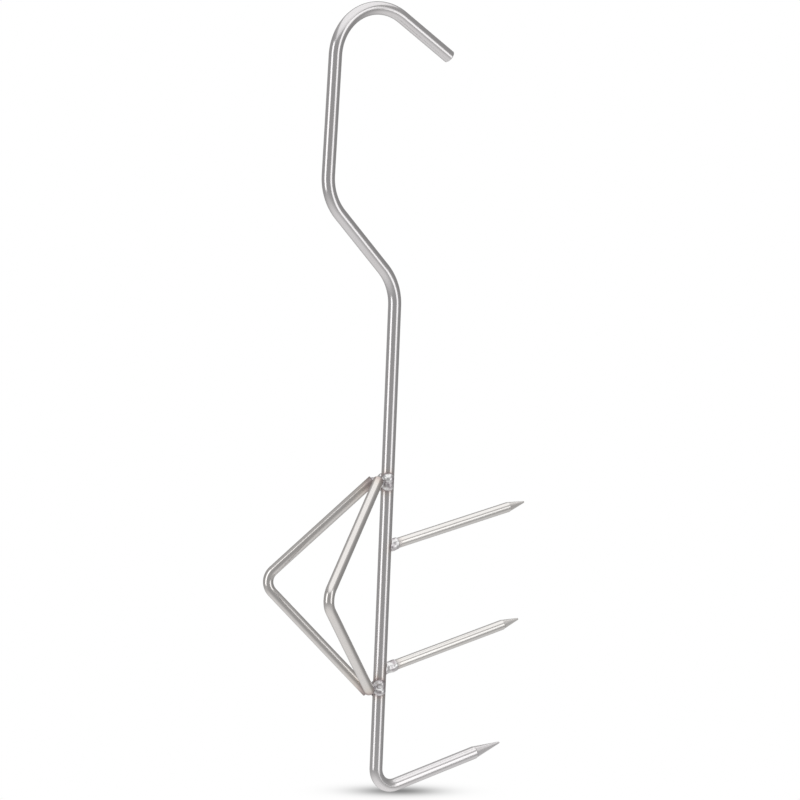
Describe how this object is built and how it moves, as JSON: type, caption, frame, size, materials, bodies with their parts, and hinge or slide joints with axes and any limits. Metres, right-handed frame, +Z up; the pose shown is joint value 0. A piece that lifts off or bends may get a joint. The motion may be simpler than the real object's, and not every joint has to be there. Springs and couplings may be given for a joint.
{
  "type": "meat hook",
  "caption": "Welded round-bar meat hook: a rail hook and offset neck over a straight shank, with pointed prongs on its front and splayed bent bows on its back.",
  "frame": {"origin": "point on the inside top of the hook's arc, where it rests on its rail", "axes": "+Z up along the shank, +X from the shank towards the prongs, Y across the bows, and the hook, shank and prongs lie in the XZ plane"},
  "size_m": [0.2109, 0.0974, 0.6078],
  "materials": {
    "rod_steel": "drawn bright stainless bar, faint draw lines along it",
    "prong_steel": "linished stainless bar with fine slanting polishing marks and ground points",
    "bow_steel": "linished stainless wire bar, warm tint near the welds",
    "weld_metal": "as-laid shiny rippled weld with heat tint at its edges"
  },
  "bodies": {
    "root": {"long_rod": "rod_steel", "middle_prong": "prong_steel", "upper_prong": "prong_steel", "near_bow": "bow_steel", "far_bow": "bow_steel", "middle_prong_weld": "weld_metal", "upper_prong_weld": "weld_metal", "near_bow_top_weld": "weld_metal", "far_bow_top_weld": "weld_metal", "near_bow_bottom_weld": "weld_metal", "far_bow_bottom_weld": "weld_metal"}
  },
  "joints": []
}
